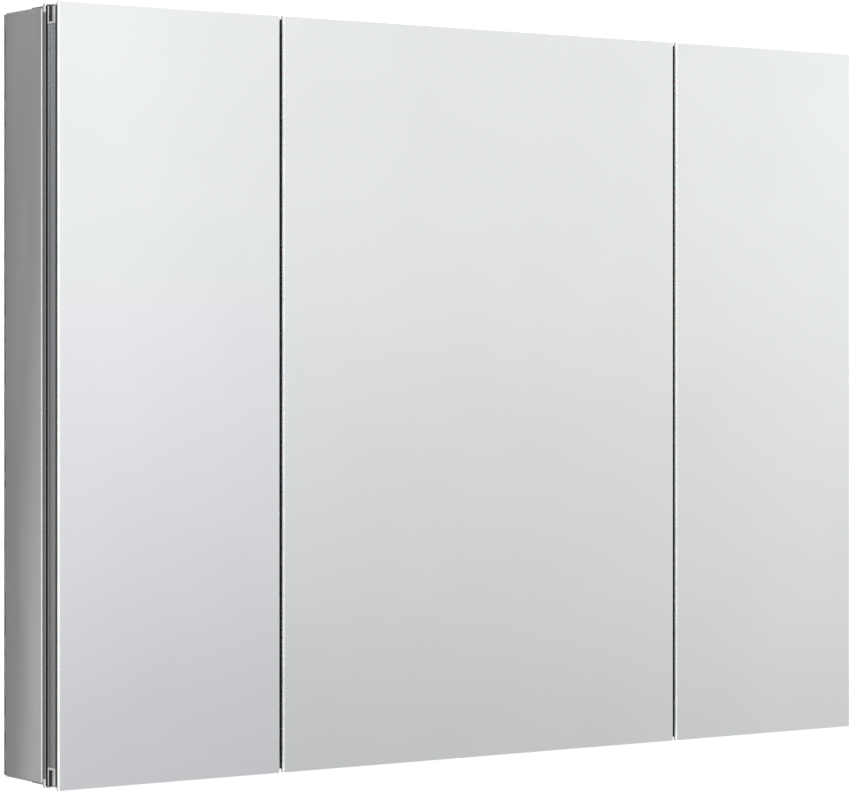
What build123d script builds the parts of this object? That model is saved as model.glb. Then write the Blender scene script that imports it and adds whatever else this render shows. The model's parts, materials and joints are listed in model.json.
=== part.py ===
from build123d import *
import os
from math import sqrt

os.makedirs("parts", exist_ok=True)

# Mirrored wall cabinet: three frameless mirror doors in front of a shallow aluminium body.
# Millimetres.  X runs along the front, -Y points at the room, Z is up.
# The origin is the middle of the back, on the wall.

# ---- overall -------------------------------------------------------------------------------
WIDTH = 1016.0  # over the outer doors
HEIGHT = 762.0  # over the door glass
SIDE_BAY = 254.0  # outer edge of the cabinet to the middle of the nearer seam
SEAM = 5.0  # gap between two doors
BODY_DEPTH = 83.0  # wall to the front of the body panels

# ---- what lies in front of the body, from the wall outwards ------------------------------------
GROOVE = 2.0  # shadow groove between body and collar
BEAD = 6.5  # rounded bead of the collar
DOOR_GAP = 4.5  # collar to door frame, bridged by the door's seal
FRAME_DEPTH = 16.0  # door frame profile
GASKET = 3.0  # bonding gasket under the door glass
GLASS = 5.0  # door glass

# ---- body ----------------------------------------------------------------------------------
BODY_INSET = 3.0  # outer edge of the doors to the outside of the body
PANEL = 16.0  # hollow body panels
WALL = 1.6  # wall of the body extrusions
LIP_OUT = 1.4  # flare of the side panel's front lip
LIP_DEEP = 4.0
LIP_NOSE = 1.0  # rounded nose of the lip
KEY_CAP = 1.6  # end cap of the corner key
KEY_LEG = 40.0
KEY_DEEP = 40.0
KEY_PLAY = 0.2
TRAY_DEPTH = 6.0  # folded back panel
TRAY_SHEET = 1.5
TRAY_INSET = 1.0
BACK_MIRROR = 4.0
BACK_MIRROR_TUCK = 4.0  # how far a back mirror reaches behind a panel

# ---- collar and seal -----------------------------------------------------------------------
COLLAR_STEP = 4.5  # outer edge of the bead to the collar's own web
BEAD_CROWN = 2.0
COLLAR_WALL = 1.4
CAP_HEIGHT = 9.0
CAP_ROUND = 3.0
MULLION = 32.0
SEAL_WIDTH = 4.0
SEAL_PLAY = 0.3  # to the collar, with the door closed
SEAL_EDGE = 0.2  # from the frame's rebate
SEAL_ROUND = 1.6
CATCH = (24.0, 4.0, 6.2)  # magnet housing
CATCH_EDGE = 1.6  # below the frame's outer edge
CATCH_ROUND = 1.0
CATCH_CLEAR = 3.0  # past the tongue of the door's corner piece

# ---- doors ---------------------------------------------------------------------------------
FRAME_WIDTH = 18.0
FRAME_INSET = 3.3  # glass edge to door frame, top and bottom
FRAME_WALL = 1.6
FRAME_ROUND = 1.5
CHANNEL_DEEP = 1.2  # shallow channel along the frame's outside
CHANNEL_EDGE = 3.0
CHANNEL_RIB = 0.8
CHANNEL_RIB_HIGH = 0.5
GLASS_ARRIS = 0.6
GASKET_WIDTH = 4.0
GASKET_INSET = 0.6
INNER_MIRROR = 3.0
INNER_SUNK = 0.5  # inner mirror's face below the frame
INNER_PLAY = 0.3
REBATE_WIDTH = 5.5
TONGUE = 12.0  # corner piece into a stile or a rail
TONGUE_PLAY = 0.2
POCKET_DEEP = 3.2
POCKET_EDGE = 2.6
STRIKE = 0.8
STRIKE_PLAY = 0.1

# ---- pivot hinges --------------------------------------------------------------------------
PIVOT_INSET = 10.5  # hinge edge of a door to its pivot
SWING_PLAY = 0.7  # what the seam keeps when a corner swings past
PLATE = 2.0
PIN_R = 2.0
PIN_PLAY = 0.06
BUSH_R = 3.4
BUSH_LONG = 12.0
BOSS_PLAY = 0.3
NOSE_PLAY = 0.7
NECK_OUTER = 2.2  # pivot to the neck's side that meets the open glass
NECK_INNER = 6.0
LEAF_WIDTH = 42.0
LEAF_DEEP = 36.0
LEAF_ROUND = 3.0
NOTCH_PLAY = 1.3

# ---- shelves and fixings -------------------------------------------------------------------
SHELF = 5.0
SHELF_COUNT = 3
SHELF_SIDE_PLAY = 1.5
SHELF_BACK = 2.5  # off the back mirror
SHELF_FRONT = 5.0  # behind the front of the body
SHELF_ARRIS = 0.5
PEG_R = 2.5
PEG_HOLE_R = 2.6
PEG_DEEP = 6.0
PEG_FLANGE_R = 4.5
PEG_FLANGE = 1.2
PEG_REST_R = 3.0
PEG_REST = 8.0
PEG_PITCH = 32.0
PEG_ROW_EDGE = 14.0  # shelf edge to the row of holes
SCREW_R = 2.0
SCREW_HOLE_R = 2.1
SCREW_HEAD_R = 3.8
SCREW_HEAD = 1.8
SCREW_LONG = 12.0
SOCKET_R = 1.4
SOCKET_DEEP = 1.2
WALL_HOLE_R = 3.0
WALL_HOLE_IN = (46.0, 42.0)  # in from the centre bay's side, and from its top or bottom
GROMMET_HOLE_R = 7.0
GROMMET_R = 6.8
GROMMET_BORE_R = 3.25
GROMMET_RIM_R = 9.0
GROMMET_RIM = 1.0
BACK_SCREW_IN = 62.0  # in from the top and bottom panels

# ---- places worked out from the sizes ------------------------------------------------------
COLLAR_BACK = BODY_DEPTH
BEAD_BACK = BODY_DEPTH + GROOVE
COLLAR_FACE = BEAD_BACK + BEAD
DOOR_BACK = COLLAR_FACE + DOOR_GAP
FRAME_FACE = DOOR_BACK + FRAME_DEPTH
GLASS_BACK = FRAME_FACE + GASKET
GLASS_FACE = GLASS_BACK + GLASS

HALF_W = WIDTH / 2
HALF_H = HEIGHT / 2
BODY_TOP = HALF_H - BODY_INSET
INNER_TOP = BODY_TOP - PANEL
BODY_SIDE = HALF_W - BODY_INSET
INNER_SIDE = BODY_SIDE - PANEL
DIVIDER_X = HALF_W - SIDE_BAY
PANEL_INSET = BODY_INSET + PANEL
PANEL_MIDDLE = (BODY_DEPTH + TRAY_DEPTH) / 2
WALL_HOLES = (2 * (DIVIDER_X - PANEL / 2 - WALL_HOLE_IN[0]), 2 * (INNER_TOP - WALL_HOLE_IN[1]))
BACK_SCREW_RISE = INNER_TOP - BACK_SCREW_IN
HOLLOW = (PANEL - 2 * WALL, BODY_DEPTH - TRAY_DEPTH - 2 * WALL)
KEY_Y = -BODY_DEPTH + WALL + KEY_DEEP / 2
FRAME_TOP = HALF_H - FRAME_INSET
FRAME_END = FRAME_TOP - FRAME_WIDTH
REBATE_DEEP = INNER_SUNK + INNER_MIRROR

# The pivot stands behind the glass face by the leg of a right triangle: the face's corner swings
# on a circle about the pivot and may pass the door's edge by no more than the swing.
SWING = SEAM - SWING_PLAY
PIVOT_BACK = sqrt(2 * PIVOT_INSET * SWING + SWING**2)
PIVOT_DEPTH = GLASS_FACE - PIVOT_BACK
BOSS_R = PIVOT_BACK - GLASS - BOSS_PLAY
NOSE_R = PIVOT_BACK - GLASS - NOSE_PLAY

# Each door: name, left edge, right edge, and the side that its hinges are on.
DOORS = (
    ("left", -HALF_W, -DIVIDER_X - SEAM / 2, -1),
    ("centre", -DIVIDER_X + SEAM / 2, DIVIDER_X - SEAM / 2, 1),
    ("right", DIVIDER_X + SEAM / 2, HALF_W, 1),
)
# Each bay: name, left and right inner faces.
BAYS = (
    ("left", -INNER_SIDE, -DIVIDER_X - PANEL / 2),
    ("centre", -DIVIDER_X + PANEL / 2, DIVIDER_X - PANEL / 2),
    ("right", DIVIDER_X + PANEL / 2, INNER_SIDE),
)
SIDES = (("left", -1), ("right", 1))
LEVELS = (("bottom", -1), ("top", 1))
ENDS = (-1, 1)
INWARD = (Align.CENTER, Align.CENTER, Align.MAX)  # from a face into the part
OUTWARD = (Align.CENTER, Align.CENTER, Align.MIN)

SHELF_PITCH = 2 * INNER_TOP / (SHELF_COUNT + 1)
SHELF_UNDER = [SHELF_PITCH * (i + 1) - INNER_TOP for i in range(SHELF_COUNT)]
SHELF_NEAR = BODY_DEPTH - SHELF_FRONT
SHELF_FAR = TRAY_SHEET + BACK_MIRROR + SHELF_BACK
PEG_ROWS = (SHELF_FAR + PEG_ROW_EDGE, SHELF_NEAR - PEG_ROW_EDGE)
PEG_HOLES = [
    (-row, under - PEG_REST_R + step * PEG_PITCH)
    for row in PEG_ROWS
    for under in SHELF_UNDER
    for step in (-1, 0, 1)
]
PIVOTS = [((right if side > 0 else left) - side * PIVOT_INSET, side) for _, left, right, side in DOORS]
LEAF_SCREWS = ((17.0, 11.0), (33.0, 25.0))  # from the leaf's outer side, and from its front
LEAF_OUTER = -2.0  # pivot to the leaf's outer side, towards the door's middle
LEAF_PLACES = [
    (x - side * (LEAF_OUTER + across), -BODY_DEPTH + back)
    for x, side in PIVOTS
    for across, back in LEAF_SCREWS
]
BACK_SCREW_PLACES = [
    Plane((side * x, 0, step * BACK_SCREW_RISE), z_dir=(0, 1, 0))
    for x in (BODY_SIDE - PANEL / 2, DIVIDER_X)
    for _, side in SIDES
    for step in (-1, 0, 1)
]


def save(builder, label):
    """Label a finished piece and write it as its own STEP file."""
    builder.part.label = label
    export_step(builder.part, f"parts/{label}.step")


# ---- body panels ---------------------------------------------------------------------------
# Side panel section, as inset from the cabinet's outer edge and depth from the wall.
SIDE_SECTION = (
    (PANEL_INSET, TRAY_DEPTH),
    (PANEL_INSET, BODY_DEPTH),
    (BODY_INSET - LIP_OUT / 2, BODY_DEPTH),
    (BODY_INSET - LIP_OUT, BODY_DEPTH - LIP_NOSE),
    (BODY_INSET - LIP_OUT, BODY_DEPTH - LIP_DEEP / 2),
    (BODY_INSET, BODY_DEPTH - LIP_DEEP),
    (BODY_INSET, TRAY_DEPTH),
)

for name, side in SIDES:
    with BuildPart() as side_panel:
        length = 2 * (BODY_TOP - KEY_CAP)
        with BuildSketch(Plane.XY.offset(-length / 2)):
            with BuildLine():
                Polyline(*[(side * (HALF_W - inset), -depth) for inset, depth in SIDE_SECTION], close=True)
            make_face()
            with Locations((side * (BODY_SIDE - PANEL / 2), -PANEL_MIDDLE)):
                Rectangle(*HOLLOW, mode=Mode.SUBTRACT)
        extrude(amount=length)
        # windows at both ends, where a corner key reaches through into the level panel
        with Locations((side * INNER_SIDE, KEY_Y, -BODY_TOP), (side * INNER_SIDE, KEY_Y, BODY_TOP)):
            Box(2 * WALL, KEY_DEEP, 2 * (PANEL - WALL), mode=Mode.SUBTRACT)
        with BuildSketch(Plane.YZ.offset(side * (INNER_SIDE + WALL / 2))):
            with Locations(*PEG_HOLES):
                Circle(PEG_HOLE_R)
        extrude(amount=WALL, both=True, mode=Mode.SUBTRACT)
        with BuildSketch(Plane.XZ.offset(TRAY_DEPTH + WALL / 2)):
            with GridLocations(0, BACK_SCREW_RISE, 1, 3):
                with Locations((side * (BODY_SIDE - PANEL / 2), 0)):
                    Circle(SCREW_HOLE_R)
        extrude(amount=WALL, both=True, mode=Mode.SUBTRACT)
    save(side_panel, f"{name}_side_panel")

for name, side in SIDES:
    with BuildPart() as divider:
        with BuildSketch(Plane.XY.offset(-INNER_TOP)):
            with Locations((side * DIVIDER_X, -PANEL_MIDDLE)):
                Rectangle(PANEL, BODY_DEPTH - TRAY_DEPTH)
                Rectangle(*HOLLOW, mode=Mode.SUBTRACT)
        extrude(amount=2 * INNER_TOP)
        with BuildSketch(Plane.YZ.offset(side * DIVIDER_X)):
            with Locations(*PEG_HOLES):
                Circle(PEG_HOLE_R)
        extrude(amount=PANEL, both=True, mode=Mode.SUBTRACT)
        with BuildSketch(Plane.XZ.offset(TRAY_DEPTH + WALL / 2)):
            with GridLocations(0, BACK_SCREW_RISE, 1, 3):
                with Locations((side * DIVIDER_X, 0)):
                    Circle(SCREW_HOLE_R)
        extrude(amount=WALL, both=True, mode=Mode.SUBTRACT)
    save(divider, f"{name}_divider")

for name, end in LEVELS:
    with BuildPart() as level_panel:
        with BuildSketch(Plane.YZ.offset(-INNER_SIDE)):
            with Locations((-PANEL_MIDDLE, end * (BODY_TOP - PANEL / 2))):
                Rectangle(BODY_DEPTH - TRAY_DEPTH, PANEL)
                Rectangle(HOLLOW[1], HOLLOW[0], mode=Mode.SUBTRACT)
        extrude(amount=2 * INNER_SIDE)
        with BuildSketch(Plane.XY.offset(end * (BODY_TOP - WALL / 2))):
            with Locations(*LEAF_PLACES):
                Circle(SCREW_HOLE_R)
        extrude(amount=WALL, both=True, mode=Mode.SUBTRACT)
    save(level_panel, f"{name}_panel")

with BuildPart() as corner_keys:
    for _, side in SIDES:
        for end in ENDS:
            side_x = side * (BODY_SIDE - PANEL / 2)
            leg = PANEL - 2 * WALL - 2 * KEY_PLAY
            with Locations((side_x, -PANEL_MIDDLE, end * (BODY_TOP - KEY_CAP / 2))):
                Box(PANEL, BODY_DEPTH - TRAY_DEPTH, KEY_CAP)
            with Locations((side_x, KEY_Y, end * (BODY_TOP - KEY_CAP - KEY_LEG / 2))):
                Box(leg, KEY_DEEP - 2 * KEY_PLAY, KEY_LEG)
            with Locations((side * (INNER_SIDE - KEY_LEG / 2), KEY_Y, end * (BODY_TOP - PANEL / 2))):
                Box(KEY_LEG + 2 * WALL + 2 * KEY_PLAY, KEY_DEEP - 2 * KEY_PLAY, leg)
    with Locations(*[(x, y, 0) for x, y in LEAF_PLACES]):
        Cylinder(SCREW_HOLE_R, HEIGHT, mode=Mode.SUBTRACT)
save(corner_keys, "corner_keys")

# ---- back ----------------------------------------------------------------------------------
with BuildPart() as back_panel:
    with BuildSketch(Plane.XZ):
        Rectangle(2 * (BODY_SIDE - TRAY_INSET), 2 * (BODY_TOP - TRAY_INSET))
    extrude(amount=TRAY_DEPTH)
    with BuildSketch(Plane.XZ.offset(TRAY_SHEET)):
        rim = TRAY_INSET + TRAY_SHEET
        Rectangle(2 * (BODY_SIDE - rim), 2 * (BODY_TOP - rim))
    extrude(amount=TRAY_DEPTH, mode=Mode.SUBTRACT)
    with BuildSketch(Plane.XZ):
        with GridLocations(*WALL_HOLES, 2, 2):
            Circle(WALL_HOLE_R)
    extrude(amount=TRAY_SHEET, mode=Mode.SUBTRACT)
    with Locations(*BACK_SCREW_PLACES):
        CounterSinkHole(SCREW_HOLE_R, SCREW_HEAD_R + SCREW_HOLE_R - SCREW_R, depth=TRAY_DEPTH)
save(back_panel, "back_panel")

for name, left, right in BAYS:
    with BuildPart() as back_mirror:
        with BuildSketch(Plane.XZ.offset(TRAY_SHEET)):
            with Locations(((left + right) / 2, 0)):
                Rectangle(right - left + 2 * BACK_MIRROR_TUCK, 2 * (INNER_TOP + BACK_MIRROR_TUCK))
            if name == "centre":
                with GridLocations(*WALL_HOLES, 2, 2):
                    Circle(GROMMET_HOLE_R, mode=Mode.SUBTRACT)
        extrude(amount=BACK_MIRROR)
    save(back_mirror, f"{name}_back_mirror")

with BuildPart() as mounting_grommets:
    with BuildSketch(Plane.XZ.offset(TRAY_SHEET)):
        with GridLocations(*WALL_HOLES, 2, 2):
            Circle(GROMMET_R)
    extrude(amount=BACK_MIRROR)
    with BuildSketch(Plane.XZ.offset(TRAY_SHEET + BACK_MIRROR)):
        with GridLocations(*WALL_HOLES, 2, 2):
            Circle(GROMMET_RIM_R)
    extrude(amount=GROMMET_RIM)
    with BuildSketch(Plane.XZ.offset(TRAY_SHEET)):
        with GridLocations(*WALL_HOLES, 2, 2):
            Circle(GROMMET_BORE_R)
    extrude(amount=BACK_MIRROR + GROMMET_RIM, mode=Mode.SUBTRACT)
save(mounting_grommets, "mounting_grommets")

# ---- collar --------------------------------------------------------------------------------
# Web of the collar behind the bead, as inset from the outer edge and depth from the wall.
COLLAR_WEB = (
    (BEAD_CROWN, BEAD_BACK),
    (COLLAR_STEP, BEAD_BACK),
    (COLLAR_STEP, COLLAR_BACK),
    (PANEL_INSET, COLLAR_BACK),
    (PANEL_INSET, COLLAR_FACE),
    (BEAD_CROWN, COLLAR_FACE),
)
COLLAR_HOLLOW_WIDTH = PANEL_INSET - COLLAR_STEP - 2 * COLLAR_WALL
COLLAR_HOLLOW_DEPTH = COLLAR_FACE - COLLAR_BACK - 2 * COLLAR_WALL
COLLAR_HOLLOW_INSET = (PANEL_INSET + COLLAR_STEP) / 2
COLLAR_HOLLOW_MIDDLE = (COLLAR_FACE + COLLAR_BACK) / 2
BEAD_MIDDLE = (COLLAR_FACE + BEAD_BACK) / 2
NOTCH_OUTER = NECK_OUTER + NOTCH_PLAY
NOTCH_INNER = NECK_INNER + NOTCH_PLAY

for name, side in SIDES:
    with BuildPart() as side_collar:
        length = 2 * (HALF_H - CAP_HEIGHT)
        with BuildSketch(Plane.XY.offset(-length / 2)):
            web = [(side * (HALF_W - inset), -depth) for inset, depth in COLLAR_WEB]
            with BuildLine():
                Polyline(*web)
                ThreePointArc(web[-1], (side * HALF_W, -BEAD_MIDDLE), web[0])
            make_face()
            with Locations((side * (HALF_W - COLLAR_HOLLOW_INSET), -COLLAR_HOLLOW_MIDDLE)):
                Rectangle(COLLAR_HOLLOW_WIDTH, COLLAR_HOLLOW_DEPTH, mode=Mode.SUBTRACT)
        extrude(amount=length)
    save(side_collar, f"{name}_collar")

for name, end in LEVELS:
    with BuildPart() as level_collar:
        with BuildSketch(Plane.YZ.offset(-INNER_SIDE)):
            web = [(-depth, end * (HALF_H - inset)) for inset, depth in COLLAR_WEB]
            with BuildLine():
                Polyline(*web)
                ThreePointArc(web[-1], (-BEAD_MIDDLE, end * HALF_H), web[0])
            make_face()
            with Locations((-COLLAR_HOLLOW_MIDDLE, end * (HALF_H - COLLAR_HOLLOW_INSET))):
                Rectangle(COLLAR_HOLLOW_DEPTH, COLLAR_HOLLOW_WIDTH, mode=Mode.SUBTRACT)
        extrude(amount=2 * INNER_SIDE)
        # notch that lets the centre door's hinge plate through, level with the body
        pivot_x, hinge_side = PIVOTS[1]
        notch_x = pivot_x + hinge_side * (NOTCH_OUTER - NOTCH_INNER) / 2
        with Locations((notch_x, -COLLAR_HOLLOW_MIDDLE, end * (BODY_TOP + BODY_INSET / 2))):
            Box(NOTCH_OUTER + NOTCH_INNER, COLLAR_FACE, BODY_INSET, mode=Mode.SUBTRACT)
    save(level_collar, f"{name}_collar")

with BuildPart() as collar_corner_caps:
    for (pivot_x, _), side in zip((PIVOTS[0], PIVOTS[2]), ENDS):
        for end in ENDS:
            web = [(side * (HALF_W - inset), -depth) for inset, depth in COLLAR_WEB]
            with BuildSketch(Plane.XY.offset(end * (HALF_H - CAP_HEIGHT))):
                with BuildLine():
                    Polyline(*web)
                    ThreePointArc(web[-1], (side * HALF_W, -BEAD_MIDDLE), web[0])
                make_face()
            extrude(amount=end * CAP_HEIGHT)
            # the outer corner is rounded off, and a notch lets the hinge plate through
            corner = (side * HALF_W, end * HALF_H)
            inner = (side * (HALF_W - CAP_ROUND), end * (HALF_H - CAP_ROUND))
            with BuildSketch(Plane.XZ.offset(COLLAR_BACK)):
                with Locations(((corner[0] + inner[0]) / 2, (corner[1] + inner[1]) / 2)):
                    Rectangle(CAP_ROUND, CAP_ROUND)
                with Locations(inner):
                    Circle(CAP_ROUND, mode=Mode.SUBTRACT)
            extrude(amount=COLLAR_FACE - COLLAR_BACK, mode=Mode.SUBTRACT)
            notch_start = pivot_x + side * NOTCH_OUTER
            notch_x = (notch_start + side * INNER_SIDE) / 2
            with Locations((notch_x, -COLLAR_HOLLOW_MIDDLE, end * (BODY_TOP + BODY_INSET / 2))):
                Box(abs(notch_start) - INNER_SIDE, COLLAR_FACE, BODY_INSET, mode=Mode.SUBTRACT)
save(collar_corner_caps, "collar_corner_caps")

for name, side in SIDES:
    with BuildPart() as mullion:
        with BuildSketch(Plane.XY.offset(-INNER_TOP)):
            with Locations((side * DIVIDER_X, -COLLAR_HOLLOW_MIDDLE)):
                Rectangle(MULLION, COLLAR_FACE - COLLAR_BACK)
                Rectangle(MULLION - 2 * COLLAR_WALL, COLLAR_HOLLOW_DEPTH, mode=Mode.SUBTRACT)
        extrude(amount=2 * INNER_TOP)
    save(mullion, f"{name}_mullion")

# ---- magnet catches ------------------------------------------------------------------------
# Middle of each catch along X, near the free edge of its door.
CATCH_FROM_EDGE = FRAME_WIDTH + TONGUE + CATCH_CLEAR + CATCH[0] / 2
CATCH_X = [(left if side > 0 else right) + side * CATCH_FROM_EDGE for _, left, right, side in DOORS]
CATCH_Z = FRAME_TOP - CATCH_EDGE - CATCH[2] / 2

with BuildPart() as magnet_catches:
    for x in CATCH_X:
        for end in ENDS:
            with Locations((x, -COLLAR_FACE - CATCH[1] / 2, end * CATCH_Z)):
                Box(*CATCH)
    fillet(magnet_catches.edges().filter_by(Axis.Y), radius=CATCH_ROUND)
save(magnet_catches, "magnet_catches")

# ---- shelves -------------------------------------------------------------------------------
for name, left, right in BAYS:
    with BuildPart() as shelves:
        for under in SHELF_UNDER:
            with Locations(((left + right) / 2, -(SHELF_NEAR + SHELF_FAR) / 2, under + SHELF / 2)):
                Box(right - left - 2 * SHELF_SIDE_PLAY, SHELF_NEAR - SHELF_FAR, SHELF)
        chamfer(shelves.edges().filter_by(Axis.X), length=SHELF_ARRIS)
    save(shelves, f"{name}_shelves")

with BuildPart() as shelf_pins:
    for _, left, right in BAYS:
        for wall, inward in ((left, 1), (right, -1)):
            for row in PEG_ROWS:
                for under in SHELF_UNDER:
                    place = Plane((wall, -row, under - PEG_REST_R), z_dir=(inward, 0, 0))
                    with Locations(place):
                        Cylinder(PEG_R, PEG_DEEP, align=INWARD)
                        Cylinder(PEG_FLANGE_R, PEG_FLANGE, align=OUTWARD)
                        Cylinder(PEG_REST_R, PEG_FLANGE + PEG_REST, align=OUTWARD)
save(shelf_pins, "shelf_pins")

# ---- doors ---------------------------------------------------------------------------------
# Door frame section, as inset from the frame's outer edge and depth from the wall.
RIB = DOOR_BACK + FRAME_DEPTH / 2
FRAME_SECTION = (
    (0, DOOR_BACK),
    (FRAME_WIDTH - REBATE_WIDTH, DOOR_BACK),
    (FRAME_WIDTH - REBATE_WIDTH, DOOR_BACK + REBATE_DEEP),
    (FRAME_WIDTH, DOOR_BACK + REBATE_DEEP),
    (FRAME_WIDTH, FRAME_FACE),
    (0, FRAME_FACE),
    (0, FRAME_FACE - CHANNEL_EDGE),
    (CHANNEL_DEEP, FRAME_FACE - CHANNEL_EDGE),
    (CHANNEL_DEEP, RIB + CHANNEL_RIB / 2),
    (CHANNEL_DEEP - CHANNEL_RIB_HIGH, RIB + CHANNEL_RIB / 2),
    (CHANNEL_DEEP - CHANNEL_RIB_HIGH, RIB - CHANNEL_RIB / 2),
    (CHANNEL_DEEP, RIB - CHANNEL_RIB / 2),
    (CHANNEL_DEEP, DOOR_BACK + CHANNEL_EDGE),
    (0, DOOR_BACK + CHANNEL_EDGE),
)
CAVITY_OUTER = CHANNEL_DEEP + FRAME_WALL
CAVITY_STEP = FRAME_WIDTH - REBATE_WIDTH - FRAME_WALL
FRAME_CAVITY = (
    (CAVITY_OUTER, DOOR_BACK + FRAME_WALL),
    (CAVITY_STEP, DOOR_BACK + FRAME_WALL),
    (CAVITY_STEP, DOOR_BACK + REBATE_DEEP + FRAME_WALL),
    (FRAME_WIDTH - FRAME_WALL, DOOR_BACK + REBATE_DEEP + FRAME_WALL),
    (FRAME_WIDTH - FRAME_WALL, FRAME_FACE - FRAME_WALL),
    (CAVITY_OUTER, FRAME_FACE - FRAME_WALL),
)
TONGUE_WIDTH = CAVITY_STEP - CAVITY_OUTER - 2 * TONGUE_PLAY
TONGUE_DEPTH = FRAME_DEPTH - 2 * FRAME_WALL - 2 * TONGUE_PLAY
TONGUE_INSET = (CAVITY_STEP + CAVITY_OUTER) / 2
FRAME_MIDDLE = (DOOR_BACK + FRAME_FACE) / 2
REBATE_INSET = FRAME_WIDTH - REBATE_WIDTH


def door_stile(edge, side):
    """Upright of a door frame at the door's edge on that side."""
    with BuildPart() as stile:
        with BuildSketch(Plane.XY.offset(-FRAME_END)):
            with BuildLine():
                Polyline(*[(edge - side * inset, -depth) for inset, depth in FRAME_SECTION], close=True)
            make_face()
            fillet(vertices().sort_by_distance((edge, -DOOR_BACK))[0], radius=FRAME_ROUND)
            with BuildLine():
                Polyline(*[(edge - side * inset, -depth) for inset, depth in FRAME_CAVITY], close=True)
            make_face(mode=Mode.SUBTRACT)
        extrude(amount=2 * FRAME_END)
    return stile


def door_rail(left, right, end, strike_x):
    """Level bar of a door frame at its top or bottom end, with a recess for the strike."""
    with BuildPart() as rail:
        with BuildSketch(Plane.YZ.offset(left + FRAME_WIDTH)):
            with BuildLine():
                Polyline(*[(-depth, end * (FRAME_TOP - inset)) for inset, depth in FRAME_SECTION], close=True)
            make_face()
            fillet(vertices().sort_by_distance((-DOOR_BACK, end * FRAME_TOP))[0], radius=FRAME_ROUND)
            with BuildLine():
                Polyline(*[(-depth, end * (FRAME_TOP - inset)) for inset, depth in FRAME_CAVITY], close=True)
            make_face(mode=Mode.SUBTRACT)
        extrude(amount=right - left - 2 * FRAME_WIDTH)
        with Locations((strike_x, -DOOR_BACK, end * CATCH_Z)):
            Box(CATCH[0], 2 * STRIKE, CATCH[2], mode=Mode.SUBTRACT)
    return rail


def door_corners(left, right, hinge):
    """Four moulded corner pieces with tongues into the stiles and rails; two hold a pivot."""
    with BuildPart() as corners:
        for edge, side in ((left, -1), (right, 1)):
            pivot_x = edge - side * PIVOT_INSET
            for end in ENDS:
                with BuildSketch(Plane.XY.offset(end * FRAME_END)):
                    with Locations((edge - side * FRAME_WIDTH / 2, -FRAME_MIDDLE)):
                        Rectangle(FRAME_WIDTH, FRAME_DEPTH)
                    fillet(vertices().sort_by_distance((edge, -DOOR_BACK))[0], radius=FRAME_ROUND)
                    if side == hinge:
                        with Locations((pivot_x, -PIVOT_DEPTH)):
                            Circle(BOSS_R)
                extrude(amount=end * FRAME_WIDTH)
                with Locations((edge - side * TONGUE_INSET, -FRAME_MIDDLE, end * (FRAME_END - TONGUE / 2))):
                    Box(TONGUE_WIDTH, TONGUE_DEPTH, TONGUE)
                reach = FRAME_WIDTH + TONGUE / 2
                with Locations((edge - side * reach, -FRAME_MIDDLE, end * (FRAME_TOP - TONGUE_INSET))):
                    Box(TONGUE, TONGUE_DEPTH, TONGUE_WIDTH)
                # side pocket, open at the end of the door, with a ledge at its inner end
                pocket_long = FRAME_WIDTH - POCKET_EDGE
                with Locations((edge, -FRAME_MIDDLE, end * (FRAME_TOP - pocket_long / 2))):
                    Box(2 * POCKET_DEEP, FRAME_DEPTH - 2 * POCKET_EDGE, pocket_long, mode=Mode.SUBTRACT)
                # rebate for the corner of the inner mirror
                rebate_x = edge - side * (REBATE_INSET + REBATE_WIDTH / 2)
                rebate_z = end * (FRAME_TOP - REBATE_INSET - REBATE_WIDTH / 2)
                with Locations((rebate_x, -DOOR_BACK, rebate_z)):
                    Box(REBATE_WIDTH, 2 * REBATE_DEEP, REBATE_WIDTH, mode=Mode.SUBTRACT)
                if side == hinge:
                    with Locations((pivot_x, -PIVOT_DEPTH, end * (FRAME_TOP - BUSH_LONG / 2))):
                        Cylinder(BUSH_R, BUSH_LONG, mode=Mode.SUBTRACT)
    return corners


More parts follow.
